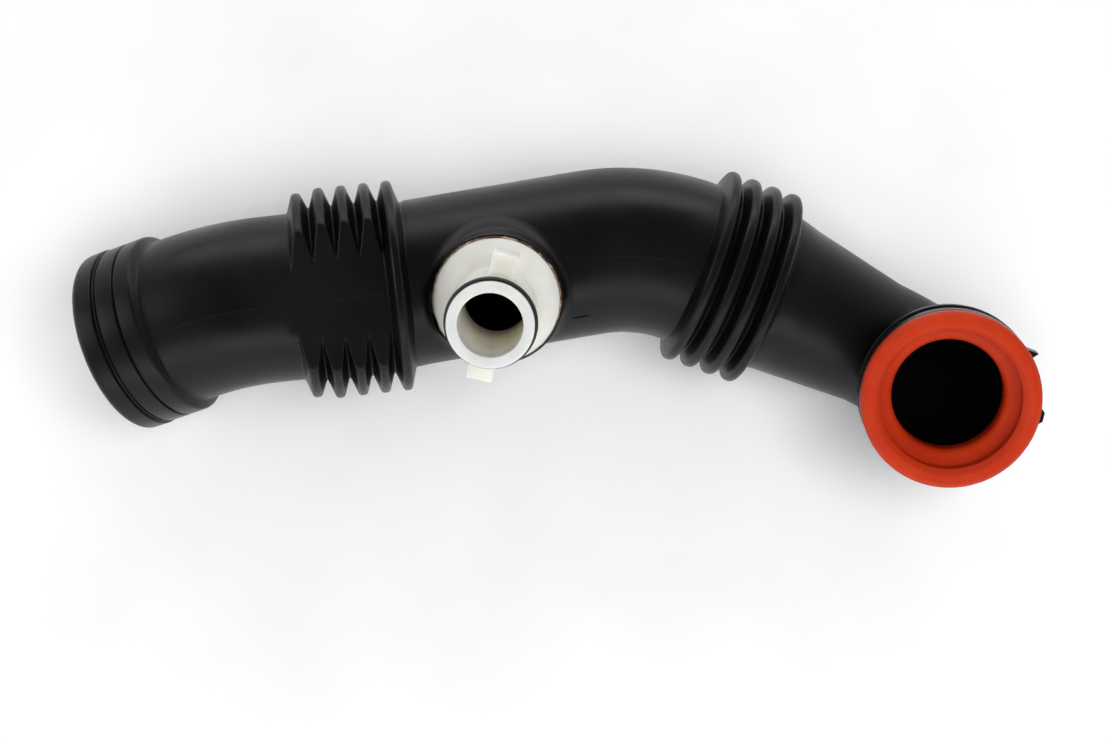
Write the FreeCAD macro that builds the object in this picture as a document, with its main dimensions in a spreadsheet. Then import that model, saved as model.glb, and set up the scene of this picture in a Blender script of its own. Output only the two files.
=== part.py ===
import FreeCAD, Part
import os
import re

import Sketcher

# Air intake hose: a blow-moulded duct with two bellows, a collar with a lip seal, and a welded branch.
# Millimetres, +Z up. The duct lies on the floor as it comes to rest, with its longest way along X.

# Driving sizes: alias, value, what it is
SIZES = [
    # the centreline as a bend chart, from the cuff's mouth to the seal's face
    ("mouth_x", -169.447, "cuff mouth centre, along X"),
    ("mouth_y", -4.61, "cuff mouth centre, along Y"),
    ("mouth_z", 32.765, "cuff mouth centre, above the floor"),
    ("mouth_heading", 15.3, "way into the duct, degrees from +X"),
    ("mouth_rise", 20.4, "way into the duct, degrees above level"),
    ("mouth_roll", -20.3, "side on which the first bend lies, degrees"),
    ("cuff_straight", 30.5, "mouth to the first bend"),
    ("cuff_bend_turn", 23.5, "first bend, degrees"),
    ("cuff_bend_radius", 80.0, "first bend, centreline radius"),
    ("knee_roll", 125.0, "knee in the last ring of the long bellows, about the tube, degrees"),
    ("knee_turn", 3.5, "knee, degrees"),
    ("run_straight", 75.1, "knee to the main bend, the run that holds the branch"),
    ("main_bend_roll", 180.0, "main bend, turned about the tube, degrees"),
    ("main_bend_turn", 29.6, "main bend, degrees"),
    ("main_bend_radius", 78.0, "main bend, centreline radius"),
    ("crook_roll", 37.4, "crook in the last ring of the short bellows, about the tube, degrees"),
    ("crook_turn", 6.8, "crook, degrees"),
    ("taper_straight", 50.0, "crook to the elbow, over which the tube narrows"),
    ("elbow_roll", -116.0, "elbow, turned about the tube, degrees"),
    ("elbow_turn", 97.5, "elbow, degrees"),
    ("elbow_radius", 26.0, "elbow, centreline radius"),
    ("seal_stand", 21.4, "elbow end to the seal's front face"),
    # tube
    ("wall", 2.2, "wall of the plain tube"),
    ("bellows_wall", 1.8, "wall of the bellows"),
    ("tube_radius", 31.8, "plain tube, outside"),
    ("taper_radius", 31.0, "tube at the crook, outside"),
    ("end_radius", 25.2, "tube at the elbow, outside"),
    # cuff
    ("cuff_bore_radius", 32.0, "clamped pipe, outside"),
    ("cuff_bore_depth", 24.0, "how far the pipe goes in"),
    ("lip_radius", 35.3, "cuff lip, outside"),
    ("lip_width", 8.4, "cuff lip, along the tube"),
    ("lip_edge", 1.6, "slope at the lip's mouth"),
    ("cuff_groove_depth", 1.0, "groove on each side of the clamp band"),
    ("lip_groove", 2.3, "width of the groove behind the lip"),
    ("clamp_band_radius", 34.9, "band that the clamp grips, outside"),
    ("clamp_band_width", 7.0, "band that the clamp grips, along the tube"),
    ("bead_groove", 1.0, "width of the groove in front of the bead"),
    ("bead_radius", 34.9, "bead behind the clamp band, outside"),
    ("bead_width", 8.4, "bead behind the clamp band, along the tube"),
    ("bead_slope", 1.4, "slope of the bead's back"),
    # bellows
    ("ring_root_radius", 32.4, "bottom of the grooves between rings, outside"),
    ("ring_flat", 1.5, "half of the flat on a ring's crest"),
    ("long_crest_radius", 40.4, "long bellows, crests"),
    ("long_first_crest_radius", 39.2, "long bellows, first crest"),
    ("long_first_ring", 13.8, "long bellows, bend to the first ring"),
    ("long_pitch", 8.65, "long bellows, ring to ring"),
    ("fold_root_radius", 30.2, "folds inside the bellows, at their lowest"),
    ("land_start", 6.5, "start of the flat side lands"),
    ("land_distance", 29.6, "tube axis to a flat land, outside"),
    ("land_roll", 218.0, "way that the upper land faces, about the tube, degrees"),
    ("short_crest_radius", 38.6, "short bellows, crests"),
    ("short_first_ring", 4.3, "short bellows, bend to the first ring"),
    ("short_pitch", 8.38, "short bellows, ring to ring"),
    # branch
    ("boss_along", 40.5, "branch axis along the run, from the knee"),
    ("boss_roll", 100.2, "way that the branch leaves, about the tube, degrees"),
    ("boss_lean", 9.0, "lean of the branch toward the cuff, degrees"),
    ("boss_aside", 4.1, "branch axis beside the tube's axis"),
    ("boss_radius", 24.8, "boss, outside"),
    ("boss_stand", 4.2, "weld face above the tube"),
    ("branch_hole_radius", 13.6, "hole in the boss"),
    ("spigot_bore_radius", 11.8, "spigot, inside"),
    ("flange_radius", 23.4, "spigot flange, outside"),
    ("flange_thickness", 2.0, "spigot flange, at its rim"),
    ("skirt_rise", 9.0, "cone between flange and neck"),
    ("neck_radius", 15.4, "spigot neck, outside"),
    ("nozzle_radius", 15.8, "spigot nozzle, outside"),
    ("nozzle_length", 10.2, "nozzle, back from its front"),
    ("spigot_height", 40.0, "weld face to the nozzle's front"),
    ("ring_groove_back", 2.2, "nozzle front to the O-ring's groove"),
    ("ring_groove_width", 3.6, "O-ring's groove, along the axis"),
    ("ring_section", 3.2, "O-ring, across its section"),
    ("ring_proud", 0.2, "how far the O-ring stands out of the nozzle"),
    ("ring_seat", 0.1, "O-ring to the bottom of its groove"),
    ("catch_reach", 23.6, "spigot catch, from the axis"),
    ("catch_width", 9.6, "spigot catch, across"),
    ("catch_height", 9.0, "spigot catch, along the axis"),
    ("catch_back", 11.2, "nozzle front to the catch's front"),
    ("catch_roll", 69.0, "way that a catch points, degrees"),
    # collar and seal
    ("collar_start", 3.0, "elbow end to the collar's back"),
    ("collar_front", 15.6, "elbow end to the collar's front"),
    ("neck_end", 9.0, "elbow end to the neck's end and the collar's pocket"),
    ("pocket_radius", 28.4, "pocket in the collar's front, for the seal"),
    ("collar_clearance", 0.15, "collar to neck, all round"),
    ("rim_radius", 33.9, "collar rims and seal, outside"),
    ("rear_rim_width", 2.6, "collar's rear rim"),
    ("recess_radius", 30.4, "collar between its rims"),
    ("front_rim_width", 4.6, "collar's front rim"),
    ("seal_clearance", 0.2, "seal to neck and to pocket, all round"),
    ("seal_edge", 1.6, "slope at the seal's outer edge"),
    ("seal_face_radius", 28.8, "inner edge of the seal's face"),
    ("seal_lip_radius", 26.4, "edge of the seal's lip"),
    ("seal_lip_depth", 2.2, "face down to the edge of the lip"),
    ("seal_mouth_radius", 27.2, "seal's mouth below its lip"),
    ("seal_mouth_start", 4.0, "face down to the mouth's wall"),
    ("seal_mouth_end", 8.5, "face down to the seal's sloped ledge"),
    ("seal_ledge_radius", 22.4, "inner edge of the ledge"),
    ("seal_ledge_depth", 10.5, "face down to the ledge's inner edge"),
    ("seal_throat_depth", 12.0, "face down to the throat"),
    ("seal_throat_radius", 21.4, "pipe that the seal takes, outside"),
    ("seal_throat_start", 3.1, "elbow end to the seal's inner end"),
    ("lug_root", 1.0, "how far a lug or catch reaches into its ring"),
    ("lug_proud", 2.8, "collar lug, above the rim"),
    ("lug_start", 6.6, "elbow end to the collar lugs"),
    ("lug_width", 6.4, "collar lug, along the axis"),
    ("ramp_roll", -119.2, "ramp lug, about the axis, degrees"),
    ("ramp_length", 4.6, "ramp lug, round the rim"),
    ("stop_roll", -165.6, "stop lug, about the axis, degrees"),
    ("stop_length", 5.8, "stop lug, round the rim"),
    ("stop_edge", 1.2, "slope at the stop lug's corners"),
]

doc = FreeCAD.newDocument("AirIntakeHose")
sheet = doc.addObject("Spreadsheet::Sheet", "Sizes")
for row, (alias, value, meaning) in enumerate(SIZES, 1):
    sheet.set("A%d" % row, meaning)
    sheet.set("B%d" % row, str(value))
    sheet.setAlias("B%d" % row, alias)
doc.recompute()
ALIASES = {alias for alias, value, meaning in SIZES}


def formula(text):
    """Turns bare size names into references to the sheet."""
    return re.sub(r"[a-z_]+", lambda word: "Sizes." + word[0] if word[0] in ALIASES else word[0], text)


def bind(thing, **properties):
    for name, text in properties.items():
        thing.setExpression(name, formula(text))


# Frames along the centreline: each has its Z axis along the tube
def moved(x="0", y="0", z="0", axis=(0, 0, 1), turn="0"):
    return "placement(vector(%s; %s; %s); rotation(vector(%d; %d; %d); %s))" % (x, y, z, *axis, turn)


def frame(name, *steps):
    """A named place, worked out as a product of places."""
    station = doc.addObject("App::Placement", name)
    bind(station, Placement=" * ".join(steps))
    return name + ".Placement"


def after_straight(name, start, length):
    return frame(name, start, moved(z=length))


def after_bend(name, start, turn, radius):
    """The bend lies toward the start frame's X axis."""
    across = "%s * (1 - cos(%s))" % (radius, turn)
    along = "%s * sin(%s)" % (radius, turn)
    return frame(name, start, moved(x=across, z=along, axis=(0, 1, 0), turn=turn))


mouth = frame(
    "AtMouth",
    moved("mouth_x", "mouth_y", "mouth_z", turn="mouth_heading"),
    moved(axis=(0, 1, 0), turn="90 - mouth_rise"),
    moved(turn="mouth_roll"),
)
cuff_bend = after_straight("AtCuffBend", mouth, "cuff_straight")
long_bellows = after_bend("AtLongBellows", cuff_bend, "cuff_bend_turn", "cuff_bend_radius")
knee = frame("AtKnee", long_bellows, moved(z="long_first_ring + 4 * long_pitch", turn="knee_roll"))
run = frame("AtRun", knee, moved(axis=(0, 1, 0), turn="knee_turn"))
main_bend = frame("AtMainBend", run, moved(z="run_straight", turn="main_bend_roll"))
short_bellows = after_bend("AtShortBellows", main_bend, "main_bend_turn", "main_bend_radius")
crook = frame("AtCrook", short_bellows, moved(z="short_first_ring + 3 * short_pitch", turn="crook_roll"))
taper = frame("AtTaper", crook, moved(axis=(0, 1, 0), turn="crook_turn"))
elbow = frame("AtElbow", taper, moved(z="taper_straight", turn="elbow_roll"))
neck = after_bend("AtNeck", elbow, "elbow_turn", "elbow_radius")
branch = frame(
    "AtBranch",
    run,
    moved(z="boss_along", turn="boss_roll"),
    moved(y="boss_aside", axis=(0, 1, 0), turn="90 + boss_lean"),
)
WELD_HEIGHT = "tube_radius + boss_stand"
weld_face = after_straight("AtWeldFace", branch, WELD_HEIGHT)


# Simple sections
def round_bar(name, place, radius, length):
    bar = doc.addObject("Part::Cylinder", name)
    bind(bar, Radius=radius, Height=length, Placement=place)
    return bar


def round_taper(name, place, first_radius, last_radius, length):
    cone = doc.addObject("Part::Cone", name)
    bind(cone, Radius1=first_radius, Radius2=last_radius, Height=length, Placement=place)
    return cone


def round_bend(name, place, tube_radius, turn, radius):
    """A bend toward the place's X axis."""
    bend = doc.addObject("Part::Torus", name)
    centre = place + " * " + moved(x=radius, axis=(0, 1, 1), turn="180")
    bind(bend, Radius1=radius, Radius2=tube_radius, Angle3=turn, Placement=centre)
    return bend


def along(place, length):
    return place + " * " + moved(z=length)


# Sketched sections
def origin_plane(body, role):
    return next(feature for feature in body.Origin.OriginFeatures if feature.Role == role)


def new_body(name, place):
    body = doc.addObject("PartDesign::Body", name)
    bind(body, Placement=place)
    return body


def outline(body, name, role, corners):
    """A closed outline through corners, each given by two formulas."""
    sketch = body.newObject("Sketcher::SketchObject", name)
    sketch.AttachmentSupport = (origin_plane(body, role), "")
    sketch.MapMode = "FlatFace"
    values = [tuple(sheet_value(text) for text in corner) for corner in corners]
    count = len(corners)
    for index in range(count):
        start = FreeCAD.Vector(*values[index], 0)
        end = FreeCAD.Vector(*values[(index + 1) % count], 0)
        sketch.addGeometry(Part.LineSegment(start, end), False)
    for index in range(count):
        sketch.addConstraint(Sketcher.Constraint("Coincident", index, 2, (index + 1) % count, 1))
        for kind, text, axis in zip(("DistanceX", "DistanceY"), corners[index], (-2, -1)):
            place_corner(sketch, index, kind, text, axis)
    return sketch


def sheet_value(text):
    """What a formula comes to now."""
    return float(sheet.evalExpression(formula(text)))


def place_corner(sketch, index, kind, text, axis):
    """Ties a corner to the sketch's origin with a size from the sheet."""
    value = sheet_value(text)
    if text == "0":
        sketch.addConstraint(Sketcher.Constraint("PointOnObject", index, 1, axis))
    elif value > 0:
        number = sketch.addConstraint(Sketcher.Constraint(kind, -1, 1, index, 1, value))
        sketch.setExpression("Constraints[%d]" % number, formula(text))
    else:
        number = sketch.addConstraint(Sketcher.Constraint(kind, index, 1, -1, 1, -value))
        sketch.setExpression("Constraints[%d]" % number, formula("-(%s)" % text))


def turned(body, name, corners):
    """Turns an outline of (radius, height) corners about the body's Z axis."""
    sketch = outline(body, name + "Outline", "XZ_Plane", corners)
    feature = body.newObject("PartDesign::Revolution", name)
    feature.Profile = sketch
    feature.ReferenceAxis = (sketch, ["V_Axis"])
    feature.Angle = 360
    body.Tip = feature
    return feature


def padded(body, name, corners, start, height, roll):
    """Raises an outline of (x, y) corners along the body's Z axis."""
    sketch = outline(body, name + "Outline", "XY_Plane", corners)
    bind(sketch, **{"AttachmentOffset": moved(z=start, turn=roll)})
    pad = body.newObject("PartDesign::Pad", name)
    pad.Profile = sketch
    bind(pad, Length=height)
    body.Tip = pad
    return pad


def joined(name, pieces):
    fuse = doc.addObject("Part::MultiFuse", name)
    fuse.Shapes = pieces
    fuse.Refine = True
    return fuse


def shared(name, pieces):
    common = doc.addObject("Part::MultiCommon", name)
    common.Shapes = pieces
    common.Refine = True
    return common


def less(name, base, tool):
    cut = doc.addObject("Part::Cut", name)
    cut.Base, cut.Tool = base, tool
    cut.Refine = True
    return cut


# Bellows: rings with flat crests outside, and folds that come to a point inside them
def bellows_row(name, place, crests, root, crest_ends, before, after, first, pitch):
    """Turns a row of rings, from the tube before it to the tube after it."""
    middles = ["(%s + %d * %s)" % (first, index, pitch) for index in range(len(crests))]
    start, end = "%s - %s / 2" % (middles[0], pitch), "%s + %s / 2" % (middles[-1], pitch)
    corners = [("0", start), (before + " - bellows_wall / 2", start)]
    for crest, middle in zip(crests, middles):
        corners += [(crest, middle + crest_end) for crest_end in crest_ends]
        corners.append((root, "%s + %s / 2" % (middle, pitch)))
    corners[-1:] = [(after + " - bellows_wall / 2", end), ("0", end)]
    body = new_body(name, place)
    turned(body, name + "Row", corners)
    return body


def rings(name, place, crests, *ends):
    return bellows_row(name, place, crests, "ring_root_radius", (" - ring_flat", " + ring_flat"), *ends)


def folds(name, place, crests, *ends):
    tips = [crest + " - bellows_wall" for crest in crests]
    return bellows_row(name, place, tips, "fold_root_radius", ("",), *ends)


TUBE_BORE = "tube_radius - wall"
TAPER_BORE = "taper_radius - wall"
END_BORE = "end_radius - wall"
LONG_CRESTS = ["long_first_crest_radius"] + 4 * ["long_crest_radius"]
SHORT_CRESTS = 4 * ["short_crest_radius"]
LAND_END = "long_first_ring + 3.5 * long_pitch"
LONG_END = "long_first_ring + 4.5 * long_pitch"


def land_slab(name, distance, start, end):
    """The space between the two flat lands, as a box round the tube."""
    slab = doc.addObject("Part::Box", name)
    reach = "2 * long_crest_radius"
    corner = moved(x="-(%s)" % distance, y="-(%s)" % reach, z=start)
    bind(slab, Length="2 * (%s)" % distance, Width="2 * (%s)" % reach, Height="%s - (%s)" % (end, start))
    bind(slab, Placement=" * ".join([long_bellows, moved(turn="land_roll"), corner]))
    return slab


def long_bellows_stretch(name, row, tube_radius, distance, start, end):
    """Plain tube, then rings cut off flat on both sides, then the last ring left whole."""
    tube = round_bar(name + "Tube", long_bellows, tube_radius, "long_first_ring + 4 * long_pitch")
    whole = joined(name + "Whole", [row, tube])
    before = round_bar(name + "Before", long_bellows, tube_radius, start)
    landed = shared(name + "Landed", [whole, land_slab(name + "Slab", distance, start, end)])
    length = "%s - (%s)" % (LONG_END, end)
    space = round_bar(name + "Space", along(long_bellows, end), "2 * long_crest_radius", length)
    last = shared(name + "Last", [whole, space])
    return [before, landed, last]


def long_bellows_skin():
    row = rings("LongRings", long_bellows, LONG_CRESTS, "tube_radius", "tube_radius",
                "long_first_ring", "long_pitch")
    return long_bellows_stretch("LongSkin", row, "tube_radius", "land_distance", "land_start", LAND_END)


def long_bellows_bore():
    row = folds("LongFolds", long_bellows, LONG_CRESTS, TUBE_BORE, TUBE_BORE, "long_first_ring", "long_pitch")
    return long_bellows_stretch("LongBore", row, TUBE_BORE, "land_distance - bellows_wall",
                                "land_start - bellows_wall", LAND_END + " + bellows_wall")


def cuff_skin():
    band = "lip_width + lip_groove"
    bead = band + " + clamp_band_width + bead_groove"
    body = new_body("CuffSkin", mouth)
    turned(body, "CuffTurned", [
        ("0", "0"),
        ("lip_radius - lip_edge", "0"),
        ("lip_radius", "lip_edge"),
        ("lip_radius", "lip_width"),
        ("clamp_band_radius - cuff_groove_depth", "lip_width + lip_groove / 2"),
        ("clamp_band_radius", band),
        ("clamp_band_radius", band + " + clamp_band_width"),
        ("clamp_band_radius - cuff_groove_depth", band + " + clamp_band_width + bead_groove / 2"),
        ("bead_radius", bead),
        ("bead_radius", bead + " + bead_width - bead_slope"),
        ("tube_radius", bead + " + bead_width"),
        ("tube_radius", "cuff_straight"),
        ("0", "cuff_straight"),
    ])
    return body


def hose_body():
    """One moulding: the skin's shape less the bore's, then the elbow and the neck."""
    skin = [
        cuff_skin(),
        round_bend("CuffBendSkin", cuff_bend, "tube_radius", "cuff_bend_turn", "cuff_bend_radius"),
        *long_bellows_skin(),
        round_bar("RunSkin", run, "tube_radius", "run_straight"),
        round_bar("Boss", branch, "boss_radius", WELD_HEIGHT),
        round_bend("MainBendSkin", main_bend, "tube_radius", "main_bend_turn", "main_bend_radius"),
        round_bar("ShortSkinLead", short_bellows, "tube_radius", "short_first_ring"),
        rings("ShortRings", short_bellows, SHORT_CRESTS, "tube_radius", "taper_radius - bellows_wall / 2",
              "short_first_ring", "short_pitch"),
        round_taper("TaperSkin", taper, "taper_radius", "end_radius", "taper_straight"),
    ]
    bore = [
        round_bar("CuffBore", along(mouth, "-wall"), "cuff_bore_radius", "cuff_bore_depth + wall"),
        round_bar("CuffThroat", along(mouth, "wall"), TUBE_BORE, "cuff_straight - wall"),
        round_bend("CuffBendBore", cuff_bend, TUBE_BORE, "cuff_bend_turn", "cuff_bend_radius"),
        *long_bellows_bore(),
        round_bar("RunBore", run, TUBE_BORE, "run_straight"),
        round_bar("BranchHole", branch, "branch_hole_radius", WELD_HEIGHT + " + wall"),
        round_bend("MainBendBore", main_bend, TUBE_BORE, "main_bend_turn", "main_bend_radius"),
        round_bar("ShortBoreLead", short_bellows, TUBE_BORE, "short_first_ring"),
        folds("ShortFolds", short_bellows, SHORT_CRESTS, TUBE_BORE, TAPER_BORE + " - bellows_wall / 2",
              "short_first_ring", "short_pitch"),
        round_taper("TaperBore", taper, TAPER_BORE, END_BORE, "taper_straight"),
    ]
    elbow_wall = less(
        "ElbowWall",
        round_bend("ElbowSkin", elbow, "end_radius", "elbow_turn", "elbow_radius"),
        round_bend("ElbowBore", elbow, END_BORE, "elbow_turn", "elbow_radius"),
    )
    neck_wall = less(
        "NeckWall",
        round_bar("NeckSkin", neck, "end_radius", "neck_end"),
        round_bar("NeckBore", neck, END_BORE, "neck_end"),
    )
    duct = less("Ducted", joined("DuctSkin", skin), joined("DuctBore", bore))
    hose = joined("HoseBody", [duct, elbow_wall, neck_wall])
    hose.Label = "hose_body"
    return hose


def end_collar():
    """Hard ring on the neck: a rear rim, a recess, a front rim with a pocket, and two lugs."""
    body = new_body("EndCollar", neck)
    sleeve = "end_radius + collar_clearance"
    turned(body, "CollarRing", [
        (sleeve, "collar_start"),
        ("rim_radius", "collar_start"),
        ("rim_radius", "collar_start + rear_rim_width"),
        ("recess_radius", "collar_start + rear_rim_width"),
        ("recess_radius", "collar_front - front_rim_width"),
        ("rim_radius", "collar_front - front_rim_width"),
        ("rim_radius", "collar_front"),
        ("pocket_radius", "collar_front"),
        ("pocket_radius", "neck_end"),
        (sleeve, "neck_end"),
    ])
    ramp = [
        ("recess_radius - lug_root", "0"),
        ("rim_radius - lug_proud / 7", "0"),
        ("rim_radius + lug_proud", "-ramp_length"),
        ("recess_radius - lug_root", "-ramp_length"),
    ]
    padded(body, "RampLug", ramp, "lug_start", "lug_width", "ramp_roll")
    stop = [
        ("recess_radius - lug_root", "-stop_length / 2"),
        ("rim_radius + lug_proud - stop_edge", "-stop_length / 2"),
        ("rim_radius + lug_proud", "-stop_length / 2 + stop_edge"),
        ("rim_radius + lug_proud", "stop_length / 2 - stop_edge"),
        ("rim_radius + lug_proud - stop_edge", "stop_length / 2"),
        ("recess_radius - lug_root", "stop_length / 2"),
    ]
    padded(body, "StopLug", stop, "lug_start", "lug_width", "stop_roll")
    body.Label = "end_collar"
    return body


def inlet_seal():
    """Lip seal: a cap on the collar's front, a plug in its pocket and a sleeve in the neck."""
    body = new_body("InletSeal", neck)
    sleeve = END_BORE + " - seal_clearance"
    plug = "pocket_radius - seal_clearance"
    turned(body, "SealRing", [
        ("seal_throat_radius", "seal_throat_start"),
        (sleeve, "seal_throat_start"),
        (sleeve, "neck_end"),
        (plug, "neck_end"),
        (plug, "collar_front"),
        ("rim_radius", "collar_front"),
        ("rim_radius", "seal_stand - seal_edge"),
        ("rim_radius - seal_edge", "seal_stand"),
        ("seal_face_radius", "seal_stand"),
        ("seal_lip_radius", "seal_stand - seal_lip_depth"),
        ("seal_mouth_radius", "seal_stand - seal_mouth_start"),
        ("seal_mouth_radius", "seal_stand - seal_mouth_end"),
        ("seal_ledge_radius", "seal_stand - seal_ledge_depth"),
        ("seal_throat_radius", "seal_stand - seal_throat_depth"),
    ])
    body.Label = "inlet_seal"
    return body


def breather_spigot():
    """Branch: flange on the weld face, cone, neck with two catches, and nozzle with an O-ring groove."""
    body = new_body("BreatherSpigot", weld_face)
    groove_front = "spigot_height - ring_groove_back"
    groove_back = groove_front + " - ring_groove_width"
    groove = "nozzle_radius + ring_proud - ring_section - ring_seat"
    turned(body, "SpigotTurned", [
        ("spigot_bore_radius", "0"),
        ("flange_radius", "0"),
        ("flange_radius", "flange_thickness"),
        ("neck_radius", "flange_thickness + skirt_rise"),
        ("neck_radius", "spigot_height - nozzle_length"),
        ("nozzle_radius", "spigot_height - nozzle_length"),
        ("nozzle_radius", groove_back),
        (groove, groove_back),
        (groove, groove_front),
        ("nozzle_radius", groove_front),
        ("nozzle_radius", "spigot_height"),
        ("spigot_bore_radius", "spigot_height"),
    ])
    catch = [
        ("neck_radius - lug_root", "-catch_width / 2"),
        ("catch_reach", "-catch_width / 2"),
        ("catch_reach", "catch_width / 2"),
        ("neck_radius - lug_root", "catch_width / 2"),
    ]
    start = "spigot_height - catch_back - catch_height"
    padded(body, "LowerCatch", catch, start, "catch_height", "catch_roll")
    padded(body, "UpperCatch", catch, start, "catch_height", "catch_roll + 180")
    body.Label = "breather_spigot"
    return body


def spigot_o_ring():
    """Only the ring's rim shows, so its section is plain."""
    body = new_body("SpigotORing", weld_face)
    front = "spigot_height - ring_groove_back - (ring_groove_width - ring_section) / 2"
    back = front + " - ring_section"
    outside = "nozzle_radius + ring_proud"
    inside = outside + " - ring_section"
    turned(body, "ORingTurned", [(inside, back), (outside, back), (outside, front), (inside, front)])
    body.Label = "spigot_o_ring"
    return body


parts = [hose_body(), end_collar(), inlet_seal(), breather_spigot(), spigot_o_ring()]
doc.recompute()

for thing in doc.Objects:
    if {"Invalid", "Error"} & set(thing.State):
        raise RuntimeError("%s did not build: %s" % (thing.Name, thing.State))
os.makedirs("parts", exist_ok=True)
for part in parts:
    if part.Shape.isNull() or not part.Shape.isValid():
        raise RuntimeError(part.Label + " has no sound shape")
    part.Shape.exportStep("parts/%s.step" % part.Label)
    print(part.Label, "solids", len(part.Shape.Solids), "volume cm3", round(part.Shape.Volume / 1000, 2))
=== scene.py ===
# %% [markdown]
# # Air intake hose
# A moulded engine duct lies on a pale table and is seen from above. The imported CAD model
# gives every shape that has a real size. This script gives the surfaces their materials,
# rounds their edges, adds the small marks of moulding and welding, and lights the scene.

# %% Load the frame
import math

import bpy
from mathutils import Matrix, Vector


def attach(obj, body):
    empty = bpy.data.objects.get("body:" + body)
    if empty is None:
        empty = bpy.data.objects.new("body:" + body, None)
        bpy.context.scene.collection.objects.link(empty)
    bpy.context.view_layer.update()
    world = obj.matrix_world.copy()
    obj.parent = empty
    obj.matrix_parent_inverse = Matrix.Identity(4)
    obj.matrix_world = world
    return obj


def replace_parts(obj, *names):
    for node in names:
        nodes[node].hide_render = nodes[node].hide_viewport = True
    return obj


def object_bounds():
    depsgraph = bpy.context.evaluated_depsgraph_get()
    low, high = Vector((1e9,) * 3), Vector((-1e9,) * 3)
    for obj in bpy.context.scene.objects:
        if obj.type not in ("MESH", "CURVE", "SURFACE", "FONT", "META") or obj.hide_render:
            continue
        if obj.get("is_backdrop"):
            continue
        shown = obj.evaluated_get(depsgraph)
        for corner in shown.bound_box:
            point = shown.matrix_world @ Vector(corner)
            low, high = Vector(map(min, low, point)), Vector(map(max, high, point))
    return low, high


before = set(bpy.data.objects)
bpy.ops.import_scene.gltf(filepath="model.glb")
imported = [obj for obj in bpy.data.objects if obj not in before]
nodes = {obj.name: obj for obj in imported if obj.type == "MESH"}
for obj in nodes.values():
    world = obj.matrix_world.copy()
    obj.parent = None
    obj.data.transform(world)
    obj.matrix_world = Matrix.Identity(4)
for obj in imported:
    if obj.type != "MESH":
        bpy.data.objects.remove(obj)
cad_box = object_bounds()
MM = 0.001
print("nodes:", sorted(nodes))

# %% [markdown]
# ## Camera
# The camera's place was worked out from the photograph: the ellipses of the cuff, the
# collar and the spigot fix the direction, and the width of the picture fixes the lens.
# A camera could also be posed by hand, but numbers give the same view in every run.

# %% Camera
CAMERA_PLACE = Vector((-26.6, -192.6, 868.5)) * MM
CAMERA_TARGET = Vector((-1.5, -16.9, 45.0)) * MM
CAMERA_ROLL = math.radians(8.3)
LENS_MM, SENSOR_MM = 71.35, 36.0

camera_data = bpy.data.cameras.new("camera")
camera_data.lens = LENS_MM
camera_data.sensor_width = SENSOR_MM
camera = bpy.data.objects.new("camera", camera_data)
bpy.context.scene.collection.objects.link(camera)
camera.location = CAMERA_PLACE
aim = (CAMERA_TARGET - CAMERA_PLACE).to_track_quat("-Z", "Y").to_matrix()
camera.rotation_euler = (aim @ Matrix.Rotation(CAMERA_ROLL, 3, "Z")).to_euler()
bpy.context.scene.camera = camera
print("camera", [round(c, 3) for c in camera.location])

# %% [markdown]
# ## Tools for materials
# A material in Blender is a tree of nodes. It could be wired by hand in the shader editor, but
# a script can be read and run again. One function turns a hex colour into the linear values
# that a shader takes, and one adds a node with its settings and links. Every pattern lies in
# the object's own coordinates, so its size is a real size.

# %% Material tools
NOISE, RANGE = "ShaderNodeTexNoise", "ShaderNodeMapRange"
MIX, BUMP = "ShaderNodeMix", "ShaderNodeBump"
# Most values of a noise lie in this spread.
SPREAD = {"From Min": 0.35, "From Max": 0.65}
# A mix node that is set to colours takes them at these sockets and gives the result at socket 2.
FIRST, SECOND = 6, 7
OF_COLOURS = {"out": 2, "data_type": "RGBA"}
FINISHES = {}


def colour(hex_text):
    """Linear RGBA from an sRGB hex colour."""
    parts = [int(hex_text[i:i + 2], 16) / 255 for i in (1, 3, 5)]
    linear = [c / 12.92 if c <= 0.04045 else ((c + 0.055) / 1.055) ** 2.4 for c in parts]
    return (*linear, 1.0)


def features(size_mm):
    """The noise scale whose features are about size_mm across."""
    return 1000 / size_mm


def feed(tree, node, inputs):
    """Gives each input a value, or links it to another node's output."""
    for socket, value in inputs.items():
        if isinstance(value, bpy.types.NodeSocket):
            tree.links.new(value, node.inputs[socket])
        else:
            node.inputs[socket].default_value = value


def add(tree, kind, inputs, out=0, **settings):
    """Adds a node with its settings and inputs, and gives back one of its outputs."""
    node = tree.nodes.new(kind)
    for name, value in settings.items():
        setattr(node, name, value)
    feed(tree, node, inputs)
    return node.outputs[out]


def new_material(name):
    """A material, its tree, its shader and the object's own coordinates."""
    material = bpy.data.materials.new(name)
    material.use_nodes = True
    tree = material.node_tree
    place = add(tree, "ShaderNodeTexCoord", {}, out="Object")
    print("material", name)
    return material, tree, tree.nodes["Principled BSDF"], place


# %% [markdown]
# ## Blow-moulded elastomer
# The duct is a soft black elastomer that was blown against its mould, which leaves a satin skin
# with faint waves. A picture of rubber could be wrapped round it, but noise in millimetres needs
# no unwrapping and has no seam. The real grain is finer than a pixel, so it is drawn at 0.35 mm.

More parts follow.
